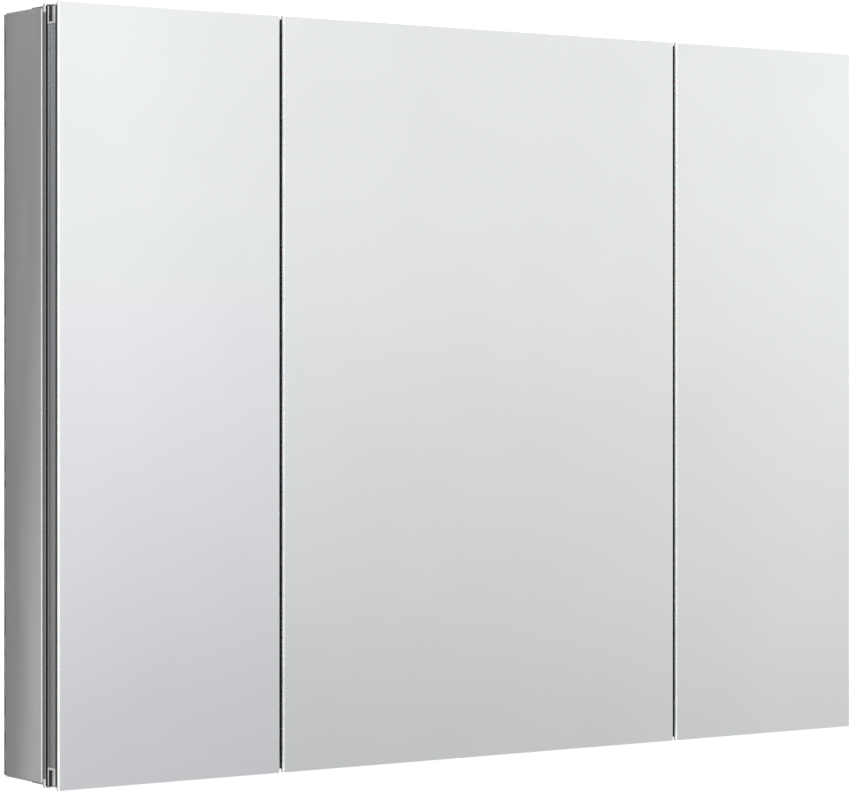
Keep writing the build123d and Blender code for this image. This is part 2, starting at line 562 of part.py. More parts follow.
for (name, left, right, hinge), (pivot_x, _), catch_x in zip(DOORS, PIVOTS, CATCH_X):
    door_width = right - left
    door_x = (left + right) / 2

    with BuildPart() as mirror:
        with BuildSketch(Plane.XZ.offset(GLASS_BACK)):
            with Locations((door_x, 0)):
                Rectangle(door_width, HEIGHT)
        extrude(amount=GLASS)
        chamfer(mirror.faces().sort_by(Axis.Y)[0].edges(), length=GLASS_ARRIS)
    save(mirror, f"{name}_door_mirror")

    with BuildPart() as gasket:
        with BuildSketch(Plane.XZ.offset(FRAME_FACE)):
            with Locations((door_x, 0)):
                outer = (door_width - 2 * GASKET_INSET, 2 * (FRAME_TOP - GASKET_INSET))
                Rectangle(*outer)
                Rectangle(outer[0] - 2 * GASKET_WIDTH, outer[1] - 2 * GASKET_WIDTH, mode=Mode.SUBTRACT)
            # broken beside the pivot bosses, which reach forward to the glass
            with Locations((pivot_x, 0)):
                Rectangle(2 * (BOSS_R + BOSS_PLAY), HEIGHT, mode=Mode.SUBTRACT)
        extrude(amount=GASKET)
    save(gasket, f"{name}_door_gasket")

    # the seal stands on the door, inboard of the pivot, so that it only moves away from the collar
    with BuildPart() as seal:
        with BuildSketch(Plane.XZ.offset(DOOR_BACK)):
            with Locations((door_x, 0)):
                ring = REBATE_INSET - SEAL_EDGE
                ring_outer = ring - SEAL_WIDTH
                Rectangle(door_width - 2 * ring_outer, 2 * (FRAME_TOP - ring_outer))
                Rectangle(door_width - 2 * ring, 2 * (FRAME_TOP - ring), mode=Mode.SUBTRACT)
        extrude(amount=SEAL_PLAY - DOOR_GAP)
        fillet(seal.faces().sort_by(Axis.Y)[-1].edges(), radius=SEAL_ROUND)
    save(seal, f"{name}_door_seal")

    with BuildPart() as inner_mirror:
        edge = REBATE_INSET + INNER_PLAY
        with BuildSketch(Plane.XZ.offset(DOOR_BACK + INNER_SUNK)):
            with Locations((door_x, 0)):
                Rectangle(door_width - 2 * edge, 2 * (FRAME_TOP - edge))
        extrude(amount=INNER_MIRROR)
    save(inner_mirror, f"{name}_door_inner_mirror")

    hinge_edge, free_edge = (left, right) if hinge < 0 else (right, left)
    save(door_stile(hinge_edge, hinge), f"{name}_door_hinge_stile")
    save(door_stile(free_edge, -hinge), f"{name}_door_free_stile")
    for level, end in LEVELS:
        save(door_rail(left, right, end, catch_x), f"{name}_door_{level}_rail")
    save(door_corners(left, right, hinge), f"{name}_door_corners")

    with BuildPart() as bushes:
        with Locations(*[(pivot_x, -PIVOT_DEPTH, end * (FRAME_TOP - BUSH_LONG / 2)) for end in ENDS]):
            Cylinder(BUSH_R, BUSH_LONG)
            Cylinder(PIN_R + PIN_PLAY, BUSH_LONG, mode=Mode.SUBTRACT)
    save(bushes, f"{name}_door_bushes")

    with BuildPart() as strikes:
        with Locations(*[(catch_x, -DOOR_BACK - STRIKE / 2, end * CATCH_Z) for end in ENDS]):
            Box(CATCH[0] - 2 * STRIKE_PLAY, STRIKE, CATCH[2] - 2 * STRIKE_PLAY)
    save(strikes, f"{name}_door_strikes")

# ---- pivot hinges on the body --------------------------------------------------------------
with BuildPart() as hinge_plates:
    for pivot_x, side in PIVOTS:
        for end in ENDS:
            with BuildSketch(Plane.XY.offset(end * BODY_TOP)):
                leaf_x = pivot_x - side * (LEAF_OUTER + LEAF_WIDTH / 2)
                with Locations((leaf_x, -BODY_DEPTH + LEAF_DEEP / 2)):
                    RectangleRounded(LEAF_WIDTH, LEAF_DEEP, LEAF_ROUND)
                with Locations((pivot_x, -PIVOT_DEPTH)):
                    Circle(NOSE_R)
                neck_long = PIVOT_DEPTH - BODY_DEPTH + LEAF_ROUND
                neck_x = pivot_x + side * (NECK_OUTER - NECK_INNER) / 2
                with Locations((neck_x, -PIVOT_DEPTH + neck_long / 2)):
                    Rectangle(NECK_OUTER + NECK_INNER, neck_long)
                with Locations((pivot_x, -PIVOT_DEPTH)):
                    Circle(PIN_R, mode=Mode.SUBTRACT)
            extrude(amount=end * PLATE)
            face = end * (BODY_TOP + PLATE)
            places = [
                Plane((pivot_x - side * (LEAF_OUTER + across), -BODY_DEPTH + back, face), z_dir=(0, 0, end))
                for across, back in LEAF_SCREWS
            ]
            with Locations(*places):
                CounterSinkHole(SCREW_HOLE_R, SCREW_HEAD_R + SCREW_HOLE_R - SCREW_R, depth=PLATE)
save(hinge_plates, "hinge_plates")

with BuildPart() as hinge_pins:
    pin_long = BODY_TOP + PLATE - FRAME_TOP + BUSH_LONG - BOSS_PLAY
    for pivot_x, _ in PIVOTS:
        for end in ENDS:
            with Locations((pivot_x, -PIVOT_DEPTH, end * (BODY_TOP + PLATE - pin_long / 2))):
                Cylinder(PIN_R, pin_long)
save(hinge_pins, "hinge_pins")

with BuildPart() as countersunk_screws:
    leaf_screws = [
        Plane((x, y, end * (BODY_TOP + PLATE)), z_dir=(0, 0, end)) for end in ENDS for x, y in LEAF_PLACES
    ]
    with Locations(*BACK_SCREW_PLACES, *leaf_screws):
        Cylinder(SCREW_R, SCREW_LONG, align=INWARD)
        Cone(SCREW_R, SCREW_HEAD_R, SCREW_HEAD, align=INWARD)
        Cylinder(SOCKET_R, SOCKET_DEEP, align=INWARD, mode=Mode.SUBTRACT)
save(countersunk_screws, "countersunk_screws")
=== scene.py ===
import json
from math import pi, radians

import bmesh
import bpy
import numpy as np
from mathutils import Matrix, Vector

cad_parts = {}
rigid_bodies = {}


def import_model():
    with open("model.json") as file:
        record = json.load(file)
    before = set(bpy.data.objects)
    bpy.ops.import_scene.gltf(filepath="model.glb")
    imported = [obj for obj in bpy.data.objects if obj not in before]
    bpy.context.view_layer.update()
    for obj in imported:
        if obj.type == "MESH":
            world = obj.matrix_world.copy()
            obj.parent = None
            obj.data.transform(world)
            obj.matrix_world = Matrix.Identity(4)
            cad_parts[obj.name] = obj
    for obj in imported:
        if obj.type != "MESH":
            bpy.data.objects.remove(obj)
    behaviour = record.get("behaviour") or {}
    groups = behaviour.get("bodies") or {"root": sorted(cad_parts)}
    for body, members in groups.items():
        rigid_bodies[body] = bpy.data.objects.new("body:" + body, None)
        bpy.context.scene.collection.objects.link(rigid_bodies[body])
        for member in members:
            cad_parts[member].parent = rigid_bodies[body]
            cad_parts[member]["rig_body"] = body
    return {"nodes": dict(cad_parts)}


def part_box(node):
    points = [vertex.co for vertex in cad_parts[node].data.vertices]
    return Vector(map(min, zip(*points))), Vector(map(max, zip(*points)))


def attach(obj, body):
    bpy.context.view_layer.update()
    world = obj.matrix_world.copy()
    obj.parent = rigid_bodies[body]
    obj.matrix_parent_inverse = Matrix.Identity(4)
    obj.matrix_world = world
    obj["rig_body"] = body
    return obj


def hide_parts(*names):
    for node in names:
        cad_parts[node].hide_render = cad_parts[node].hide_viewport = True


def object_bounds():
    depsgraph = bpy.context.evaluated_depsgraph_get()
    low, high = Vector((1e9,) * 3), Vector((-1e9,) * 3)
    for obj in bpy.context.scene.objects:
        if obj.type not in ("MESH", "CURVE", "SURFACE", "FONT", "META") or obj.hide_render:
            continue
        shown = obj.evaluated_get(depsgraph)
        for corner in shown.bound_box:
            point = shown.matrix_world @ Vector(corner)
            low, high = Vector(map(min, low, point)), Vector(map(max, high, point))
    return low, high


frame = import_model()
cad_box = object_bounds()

# Looks for a wall cabinet with three mirror doors: satin anodised aluminium body and door frames, polished
# float glass mirrors, rubber seals, glass shelves and plated fittings.  Metres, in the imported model's frame.

MM = 0.001
DOORS = ("left", "centre", "right")
SIDES = ("left", "right")
LEVELS = ("top", "bottom")
CREASE = radians(32)  # an edge that turns more than this is a sharp one
WELD = 0.002 * MM
FLAT = radians(0.5)
LEAST_RADIUS = 0.05 * MM
NOISE_LOW, NOISE_HIGH = 0.3, 0.7  # nearly all of the noise lies between these


# ---- surfaces --------------------------------------------------------------------------------
def rounded_rectangle(half_u, half_v, radius, steps=6):
    """Closed outline about the origin: four quarter circles follow each other, each about a point one
    radius in from its corner, and the gaps between them are the straight sides."""
    angle = np.linspace(0, pi / 2, steps)
    quarter = np.repeat(np.arange(4), steps)
    turn = np.tile(angle, 4) + quarter * pi / 2
    sign_u = np.array([1, -1, -1, 1])[quarter]
    sign_v = np.array([1, 1, -1, -1])[quarter]
    u = sign_u * (half_u - radius) + radius * np.cos(turn)
    v = sign_v * (half_v - radius) + radius * np.sin(turn)
    return np.stack([u, v], axis=1)


def plate_rings(low, high, normal, profile, corner):
    """Rings of a rectangular plate.  Every profile row (inset, along) gives one outline, the plate's own
    drawn in by the inset, at that distance along the normal axis from the low side; corners keep their
    centres."""
    across = [axis for axis in range(3) if axis != normal]
    middle = (np.array(low) + np.array(high)) / 2
    half = (np.array(high) - np.array(low)) / 2
    rings = []
    for inset, along in profile:
        radius = max(corner - inset, LEAST_RADIUS)
        flat = rounded_rectangle(half[across[0]] - inset, half[across[1]] - inset, radius)
        ring = np.zeros((len(flat), 3))
        ring[:, across] = flat + middle[across]
        ring[:, normal] = low[normal] + along
        rings.append(ring)
    return np.array(rings)


def grid_faces(rows, columns, joined):
    """Cells of a grid whose rows are closed outlines.  Cell (i, j) joins rows i and i + 1 at columns j and
    j + 1; joined also closes the last row onto the first, as in a tube bent into a ring."""
    i = np.arange(rows if joined else rows - 1)[:, None]
    j = np.arange(columns)[None, :]
    after, beside = (i + 1) % rows, (j + 1) % columns
    cells = [i * columns + j, i * columns + beside, after * columns + beside, after * columns + j]
    return np.stack(cells, axis=2).reshape(-1, 4)


def make_piece(name, body, shells, materials, replaced=(), joined=False, bands=None):
    """One mesh from any number of grids of rings.  A grid that isn't joined gets a flat cap on its first
    and last ring.  bands names the material of the first cap, each band between rings, and the last cap."""
    points, faces, kinds = [], [], []
    start = 0
    for rings in shells:
        rows, columns, _ = rings.shape
        cells = grid_faces(rows, columns, joined)
        band_of = np.repeat(np.arange(len(cells) // columns), columns)
        kinds += [0] * len(cells) if bands is None else np.array(bands[1:-1])[band_of].tolist()
        faces += (cells + start).tolist()
        if not joined:
            faces.append((np.arange(columns)[::-1] + start).tolist())
            faces.append((np.arange(columns) + (rows - 1) * columns + start).tolist())
            kinds += [0, 0] if bands is None else [bands[0], bands[-1]]
        points.append(rings.reshape(-1, 3))
        start += rows * columns
    mesh = bpy.data.meshes.new(name)
    mesh.from_pydata(np.concatenate(points).tolist(), [], faces)
    mesh.polygons.foreach_set("material_index", np.array(kinds, dtype=np.int32))
    shape = bmesh.new()
    shape.from_mesh(mesh)
    bmesh.ops.recalc_face_normals(shape, faces=shape.faces)
    shape.to_mesh(mesh)
    shape.free()
    finish_piece(name, mesh, body, materials, replaced)


def finish_piece(name, mesh, body, materials, replaced):
    """Puts a mesh on its body with its materials, smooth but for edges that turn more than CREASE."""
    piece = bpy.data.objects.new(name, mesh)
    bpy.context.scene.collection.objects.link(piece)
    for material in materials:
        mesh.materials.append(material)
    mesh.polygons.foreach_set("use_smooth", np.ones(len(mesh.polygons), dtype=bool))
    mesh.set_sharp_from_angle(angle=CREASE)
    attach(piece, body)
    if replaced:
        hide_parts(*replaced)
    return piece


def eased(node, width, material, segments=2):
    """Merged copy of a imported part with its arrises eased: a bevel of that width on every edge that turns
    more than CREASE, so that the edges catch light as drawn, moulded or broken edges do."""
    source = frame["nodes"][node]
    mesh = bpy.data.meshes.new(f"{node}_eased")
    shape = bmesh.new()
    shape.from_mesh(source.data)
    bmesh.ops.remove_doubles(shape, verts=shape.verts, dist=WELD)
    bmesh.ops.dissolve_limit(shape, angle_limit=FLAT, verts=shape.verts, edges=shape.edges)
    shape.to_mesh(mesh)
    shape.free()
    piece = finish_piece(f"{node}_eased", mesh, source["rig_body"], [material], [node])
    bevel = piece.modifiers.new("eased edges", "BEVEL")
    bevel.width = width
    bevel.segments = segments
    bevel.limit_method = "ANGLE"
    bevel.angle_limit = CREASE
    bevel.harden_normals = True


# ---- materials -------------------------------------------------------------------------------
def linear(code):
    """sRGB hex to linear RGBA."""
    values = [int(code[i:i + 2], 16) / 255 for i in (0, 2, 4)]
    return [v / 12.92 if v <= 0.04045 else ((v + 0.055) / 1.055) ** 2.4 for v in values] + [1.0]


def add(tree, kind, inputs=None, **settings):
    """Adds a node with its settings; each input is a value, or another node's output to link."""
    made = tree.nodes.new("ShaderNode" + kind)
    for key, value in settings.items():
        setattr(made, key, value)
    for key, value in (inputs or {}).items():
        if isinstance(value, bpy.types.NodeSocket):
            tree.links.new(value, made.inputs[key])
        else:
            made.inputs[key].default_value = value
    return made


def new_material(name):
    """Empty material and its tree."""
    material = bpy.data.materials.new(name)
    material.use_nodes = True
    material.node_tree.nodes.clear()
    return material, material.node_tree


def grain(tree, size, stretch=(1, 1, 1), detail=2.0):
    """Noise whose lumps are that size in metres, drawn out along each axis by the stretch."""
    place = add(tree, "TexCoord").outputs["Object"]
    scale = [1 / (size * s) for s in stretch]
    moved = add(tree, "Mapping", {"Vector": place, "Scale": scale})
    return add(tree, "TexNoise", {"Vector": moved.outputs[0], "Scale": 1.0, "Detail": detail}).outputs["Fac"]


def between(tree, factor, low, high):
    """A number that runs from low to high as the noise runs over its usual range."""
    inputs = {"Value": factor, "From Min": NOISE_LOW, "From Max": NOISE_HIGH, "To Min": low, "To Max": high}
    return add(tree, "MapRange", inputs).outputs[0]


def tones(tree, factor, dark, light):
    """Colour between two tones of the same finish."""
    share = between(tree, factor, 0.0, 1.0)
    return add(tree, "Mix", {0: share, 6: linear(dark), 7: linear(light)}, data_type="RGBA").outputs[2]


def bumped(tree, *heights):
    """Normal from several heights: pairs of a noise and the relief of its lumps in metres."""
    normal = None
    for factor, relief in heights:
        inputs = {"Height": factor, "Strength": 1.0, "Distance": relief}
        if normal is not None:
            inputs["Normal"] = normal
        normal = add(tree, "Bump", inputs).outputs["Normal"]
    return normal


def drawn(along, length):
    """Stretch of a pattern along one axis and not across it."""
    return [length if axis == along else 1 for axis in range(3)]


def satin_anodised(name, dark, light, rough, along):
    """Extruded aluminium, etched satin and clear anodised: soft grey, with faint lines from the die along
    the bar and a fine grit from the etching that spreads each reflection."""
    material, tree = new_material(name)
    die_lines = grain(tree, 0.9 * MM, drawn(along, 400), 3.0)
    grit = grain(tree, 0.35 * MM)
    cloud = grain(tree, 70 * MM, drawn(along, 4), 1.0)
    mixed = add(tree, "Mix", {0: 0.35, 2: cloud, 3: die_lines}).outputs[0]
    shader = add(tree, "BsdfPrincipled", {
        "Base Color": tones(tree, mixed, dark, light),
        "Metallic": 1.0,
        "Roughness": between(tree, mixed, rough - 0.05, rough + 0.05),
        "Normal": bumped(tree, (die_lines, 0.012 * MM), (grit, 0.006 * MM)),
    })
    add(tree, "OutputMaterial", {"Surface": shader.outputs[0]})
    return material


def silvered_mirror(name, tone):
    """Float glass silvered on its back: a sharp, very slightly green reflection, with the long soft roller
    wave of float glass and a breath of haze."""
    material, tree = new_material(name)
    wave = grain(tree, 260 * MM, (1, 1, 1.6), 0.0)
    haze = grain(tree, 90 * MM, (1, 1, 1), 3.0)
    shader = add(tree, "BsdfPrincipled", {
        "Base Color": tones(tree, haze, tone[0], tone[1]),
        "Metallic": 1.0,
        "Roughness": between(tree, haze, 0.0, 0.012),
        "Normal": bumped(tree, (wave, 0.02 * MM)),
    })
    add(tree, "OutputMaterial", {"Surface": shader.outputs[0]})
    return material


def edge_painted_light(name):
    """Ground and polished edge of silvered float glass, in a near-white colour that is painted light: it
    stands for the light that travels inside the sheet and comes out here, so the edge is bright, pale and a
    little green, under a glossy skin with faint marks across the edge."""
    material, tree = new_material(name)
    marks = grain(tree, 0.8 * MM, (1, 4, 1))
    depth = grain(tree, 30 * MM, (1, 1, 1), 1.0)
    shader = add(tree, "BsdfPrincipled", {
        "Base Color": tones(tree, depth, "E8EEEA", "F6FAF8"),
        "Roughness": between(tree, marks, 0.08, 0.2),
        "IOR": 1.52,
        "Normal": bumped(tree, (marks, 0.004 * MM)),
        "Subsurface Weight": 0.3,
        "Subsurface Scale": 3 * MM,
    })
    add(tree, "OutputMaterial", {"Surface": shader.outputs[0]})
    return material


def back_lacquer(name):
    """Protective lacquer rolled over the silver: near black, dull, with a slight orange peel."""
    material, tree = new_material(name)
    peel = grain(tree, 1.5 * MM)
    cloud = grain(tree, 40 * MM)
    shader = add(tree, "BsdfPrincipled", {
        "Base Color": tones(tree, cloud, "1B1E1D", "262A28"),
        "Roughness": between(tree, peel, 0.45, 0.6),
        "Normal": bumped(tree, (peel, 0.02 * MM)),
    })
    add(tree, "OutputMaterial", {"Surface": shader.outputs[0]})
    return material


def rubber(name, dark, light, rough, texture):
    """Extruded black rubber: matt and slightly dusty, with a fine skin along it."""
    material, tree = new_material(name)
    skin = grain(tree, texture)
    dust = grain(tree, 25 * MM, (1, 1, 1), 4.0)
    shader = add(tree, "BsdfPrincipled", {
        "Base Color": tones(tree, dust, dark, light),
        "Roughness": between(tree, dust, rough - 0.08, rough + 0.08),
        "Normal": bumped(tree, (skin, 0.03 * MM)),
        "Sheen Weight": 0.15,
        "Sheen Roughness": 0.5,
    })
    add(tree, "OutputMaterial", {"Surface": shader.outputs[0]})
    return material


def moulding(name, dark, light, rough, spark=0.6):
    """Injection-moulded plastic: an even colour under a spark-eroded satin texture, a little glossier
    where the tool was smoother."""
    material, tree = new_material(name)
    texture = grain(tree, spark * MM, (1, 1, 1), 4.0)
    flow = grain(tree, 14 * MM, (1, 1, 1), 2.0)
    shader = add(tree, "BsdfPrincipled", {
        "Base Color": tones(tree, flow, dark, light),
        "Roughness": between(tree, flow, rough - 0.07, rough + 0.07),
        "IOR": 1.5,
        "Normal": bumped(tree, (texture, 0.02 * MM)),
    })
    add(tree, "OutputMaterial", {"Surface": shader.outputs[0]})
    return material


def shade_graded_moulding(name, dark, light, span, rough):
    """Moulded plastic with a fine grain, dark where y is span[0] and running out to a light tone at
    span[1]: painted shade, which gives a deep pocket its dark rear."""
    material, tree = new_material(name)
    speckle = grain(tree, 0.4 * MM)
    along = add(tree, "SeparateXYZ", {0: add(tree, "TexCoord").outputs["Object"]}).outputs["Y"]
    share = add(tree, "MapRange", {"Value": along, "From Min": span[0], "From Max": span[1]},
                interpolation_type="SMOOTHSTEP").outputs[0]
    colour = add(tree, "Mix", {0: share, 6: linear(dark), 7: linear(light)}, data_type="RGBA").outputs[2]
    shader = add(tree, "BsdfPrincipled", {
        "Base Color": colour,
        "Roughness": between(tree, speckle, rough - 0.05, rough + 0.05),
        "Normal": bumped(tree, (speckle, 0.01 * MM)),
    })
    add(tree, "OutputMaterial", {"Surface": shader.outputs[0]})
    return material


def metallic_lacquer(name, dark, light, rough):
    """Moulded plastic sprayed with satin aluminium lacquer: metallic, with a fine flake and a soft orange
    peel."""
    material, tree = new_material(name)
    flake = grain(tree, 0.3 * MM, (1, 1, 1), 3.0)
    peel = grain(tree, 1.6 * MM)
    shader = add(tree, "BsdfPrincipled", {
        "Base Color": tones(tree, flake, dark, light),
        "Metallic": 0.9,
        "Roughness": between(tree, flake, rough - 0.05, rough + 0.05),
        "Normal": bumped(tree, (peel, 0.01 * MM), (flake, 0.004 * MM)),
    })
    add(tree, "OutputMaterial", {"Surface": shader.outputs[0]})
    return material


def nickel_plate(name, dark, light, rough):
    """Nickel on steel: warm grey and fairly bright, with the fine tumbling scratches of small fittings."""
    material, tree = new_material(name)
    scratch = grain(tree, 0.5 * MM, (6, 1, 1), 4.0)
    cloud = grain(tree, 9 * MM, (1, 1, 1), 2.0)
    shader = add(tree, "BsdfPrincipled", {
        "Base Color": tones(tree, cloud, dark, light),
        "Metallic": 1.0,
        "Roughness": between(tree, scratch, rough - 0.06, rough + 0.08),
        "Normal": bumped(tree, (scratch, 0.006 * MM)),
    })
    add(tree, "OutputMaterial", {"Surface": shader.outputs[0]})
    return material


def zinc_sheet(name):
    """Hot-dip zinc on folded steel sheet: flat crystals of slightly different greys, each with its own
    gloss, about 9 mm across."""
    material, tree = new_material(name)
    place = add(tree, "TexCoord").outputs["Object"]
    warp = add(tree, "TexNoise", {"Vector": place, "Scale": 1 / (6 * MM), "Detail": 2.0}).outputs["Color"]
    bent = add(tree, "Mix", {0: 0.006, 4: place, 5: warp}, data_type="VECTOR").outputs[1]
    crystals = add(tree, "TexVoronoi", {"Vector": bent, "Scale": 1 / (9 * MM)}).outputs["Color"]
    shade = add(tree, "SeparateColor", {"Color": crystals}).outputs[0]
    spread = add(tree, "MapRange", {"Value": shade, "To Min": NOISE_LOW, "To Max": NOISE_HIGH}).outputs[0]
    shader = add(tree, "BsdfPrincipled", {
        "Base Color": tones(tree, spread, "9DA1A3", "B9BCBD"),
        "Metallic": 1.0,
        "Roughness": between(tree, spread, 0.34, 0.5),
        "Normal": bumped(tree, (grain(tree, 0.5 * MM), 0.006 * MM)),
    })
    add(tree, "OutputMaterial", {"Surface": shader.outputs[0]})
    return material


def clear_glass(name, tint, low, high):
    """Toughened float glass: clear, faintly green where the path through it is long."""
    material, tree = new_material(name)
    film = grain(tree, 50 * MM, (1, 1, 1), 3.0)
    shader = add(tree, "BsdfPrincipled", {
        "Base Color": linear(tint),
        "Roughness": between(tree, film, low, high),
        "IOR": 1.52,
        "Transmission Weight": 1.0,
    })
    add(tree, "OutputMaterial", {"Surface": shader.outputs[0]})
    return material


ALONG_X, ALONG_Z = 0, 2
body_upright = satin_anodised("anodised aluminium body, upright", "BDBFC1", "CFD1D3", 0.36, ALONG_Z)
body_level = satin_anodised("anodised aluminium body, level", "BDBFC1", "CFD1D3", 0.36, ALONG_X)
# painted highlight: the lip is a lighter copy of the body's anodised aluminium
lip_painted_highlight = satin_anodised("anodised aluminium lip, painted highlight", "E8EAEC", "F4F5F6", 0.17, ALONG_Z)
# painted shade: the collar is a darker copy of the body's anodised aluminium
collar_upright_painted_shade = satin_anodised("anodised aluminium collar, upright, painted shade", "7A7C7E", "8A8C8E", 0.28, ALONG_Z)
collar_level_painted_shade = satin_anodised("anodised aluminium collar, level, painted shade", "7A7C7E", "8A8C8E", 0.28, ALONG_X)
# painted shade: the trim is a darker copy of the body's anodised aluminium
trim_upright_painted_shade = satin_anodised("anodised aluminium trim, upright, painted shade", "8E9092", "9EA0A2", 0.24, ALONG_Z)
trim_level_painted_shade = satin_anodised("anodised aluminium trim, level, painted shade", "8E9092", "9EA0A2", 0.24, ALONG_X)
door_silver = silvered_mirror("silvered float glass, door", ("EDF0EF", "EFF2F1"))
inner_silver = silvered_mirror("silvered float glass, inside", ("E6EAE8", "EAEEEC"))
# painted light: the glass edge's near-white colour stands for light carried inside the glass
mirror_edge_painted_light = edge_painted_light("polished edge of mirror glass, painted light")
lacquer = back_lacquer("mirror back lacquer")
bonding = rubber("butyl bonding strip", "0B0B0C", "141415", 0.62, 0.5 * MM)
bulb_rubber = rubber("EPDM bulb seal", "151516", "202021", 0.55, 0.4 * MM)
corner_satin = metallic_lacquer("ABS corner piece, satin lacquer", "D4D6D8", "E4E6E8", 0.3)
# painted shade: black strips in the gap between the doors and the collar
painted_gap_shade = rubber("black strip, painted gap shade", "08080A", "0E0E10", 0.9, 0.3 * MM)
key_nylon = moulding("glass-filled nylon, grey", "7F8284", "8C8F91", 0.5, 0.8)
black_abs = moulding("ABS, black", "121213", "1B1B1C", 0.42)
housing_abs = moulding("ABS magnet housing, white", "D9DAD8", "E4E5E3", 0.36)
acetal = moulding("acetal bush, natural white", "E3E1DA", "ECEAE4", 0.28)
# painted shade: dark sheets in the corner pieces' pockets, darkest at the rear
painted_pocket_shade = shade_graded_moulding("dark moulded sheet, painted pocket shade", "303132", "D0D2D4", (-0.0988, -0.1052), 0.5)
black_nickel = nickel_plate("black nickel-plated steel", "5A5856", "6C6A67", 0.28)
nickel = nickel_plate("nickel-plated steel", "B3AEA6", "C9C4BB", 0.24)
zinc = zinc_sheet("zinc-coated sheet steel")
shelf_clear = clear_glass("toughened glass, face", "F7FCFA", 0.0, 0.02)
shelf_edge = clear_glass("toughened glass, polished edge", "B9DCCD", 0.03, 0.09)

EASE_EXTRUSION = 0.3 * MM
for side in SIDES:
    eased(f"{side}_side_panel", EASE_EXTRUSION, body_upright)
    eased(f"{side}_divider", EASE_EXTRUSION, body_upright)
    eased(f"{side}_collar", EASE_EXTRUSION, collar_upright_painted_shade)
    eased(f"{side}_mullion", EASE_EXTRUSION, trim_upright_painted_shade)
for level in LEVELS:
    eased(f"{level}_panel", EASE_EXTRUSION, body_level)
    eased(f"{level}_collar", EASE_EXTRUSION, collar_level_painted_shade)
eased("corner_keys", 0.4 * MM, key_nylon)
eased("collar_corner_caps", 0.5 * MM, corner_satin, 3)
eased("back_panel", 0.5 * MM, zinc)
eased("mounting_grommets", 0.3 * MM, black_abs)
eased("hinge_plates", 0.3 * MM, black_nickel)
eased("hinge_pins", 0.3 * MM, nickel)
eased("countersunk_screws", 0.12 * MM, nickel)
eased("shelf_pins", 0.3 * MM, nickel)
for bay in DOORS:
    eased(f"{bay}_back_mirror", 0.4 * MM, inner_silver)
    eased(f"{bay}_door_inner_mirror", 0.4 * MM, inner_silver)
    eased(f"{bay}_door_gasket", 0.25 * MM, bonding)
    eased(f"{bay}_door_hinge_stile", EASE_EXTRUSION, trim_upright_painted_shade)
    eased(f"{bay}_door_free_stile", EASE_EXTRUSION, trim_upright_painted_shade)
    for level in LEVELS:
        eased(f"{bay}_door_{level}_rail", EASE_EXTRUSION, trim_level_painted_shade)
    eased(f"{bay}_door_corners", 0.5 * MM, corner_satin, 3)
    eased(f"{bay}_door_bushes", 0.2 * MM, acetal)
    eased(f"{bay}_door_strikes", 0.15 * MM, nickel)

# ---- door mirrors ----------------------------------------------------------------------------
ARRIS = 0.6 * MM
BACK_ARRIS = 0.3 * MM
LACQUER_AND_SHADE_LAP = 1.6 * MM  # how far the back lacquer comes round onto the edge: lacquer, and a dark band that is painted shade at the rear of the seams
MIRROR_CORNER = 1.2 * MM
SILVER, EDGE, LACQUER = 0, 1, 2
bands = [SILVER, EDGE, EDGE, LACQUER, LACQUER, LACQUER]

for door in DOORS:
    low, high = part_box(f"{door}_door_mirror")
    glass = high.y - low.y
    profile = [(ARRIS, 0), (0, ARRIS), (0, glass - LACQUER_AND_SHADE_LAP), (0, glass - BACK_ARRIS),
               (BACK_ARRIS, glass)]
    rings = plate_rings(low, high, 1, profile, MIRROR_CORNER)
    make_piece(f"{door}_door_mirror_plate", f"{door}_door", [rings],
               [door_silver, mirror_edge_painted_light, lacquer], [f"{door}_door_mirror"], bands=bands)

# ---- bulb seals ------------------------------------------------------------------------------
SEAL_WIDTH = 4.0 * MM
SEAL_FOOT = 1.0 * MM
BULB_RADIUS = 1.75 * MM
SEAL_CORNER = 4.0 * MM


def bulb_section(height):
    """Closed section of the seal as (across, up): a flat foot as wide as the strip, then a bulb that is
    three quarters of a circle and reaches the full height."""
    turn = np.linspace(-pi / 5, pi + pi / 5, 16)
    bulb = np.stack([SEAL_WIDTH / 2 + BULB_RADIUS * np.cos(turn),
                     height - BULB_RADIUS + BULB_RADIUS * np.sin(turn)], axis=1)
    foot = np.array([(0, SEAL_FOOT), (0, 0), (SEAL_WIDTH, 0), (SEAL_WIDTH, SEAL_FOOT)])
    return np.concatenate([foot, bulb])


for door in DOORS:
    low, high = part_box(f"{door}_door_seal")
    profile = bulb_section(high.y - low.y)
    rings = plate_rings(low, high, 1, profile, SEAL_CORNER)
    make_piece(f"{door}_door_bulb_seal", f"{door}_door", [rings], [bulb_rubber],
               [f"{door}_door_seal"], joined=True)

# ---- black strips: painted shade in the groove and in the gap behind the doors ---------------
GROOVE = 2.0 * MM
GROOVE_FIT = 0.05 * MM
GROOVE_INSET = (1.7 * MM, 2.4 * MM)  # outer edge of the strip, at the sides and at top and bottom
GROOVE_STRIP = 2.0 * MM
SHADE_STRIP_THICK = 0.2 * MM
SHADE_STRIP_WIDTH = 6.0 * MM
# Section of the collar's strip, painted shade in the gap, as (inset, depth behind its face): it laps onto the
# rounded bead.
SHADE_STRIP_SECTION = ((1.2 * MM, 0.75 * MM), (1.02 * MM, 0.6 * MM), (1.9 * MM, 0), (8.2 * MM, 0),
                 (8.2 * MM, SHADE_STRIP_THICK), (2.0 * MM, SHADE_STRIP_THICK))
SHADE_STRIP_FROM_EDGE = 1.7 * MM
STRIP_CORNER = 1.0 * MM
SHADE_STRIP_CORNER = 3.0 * MM

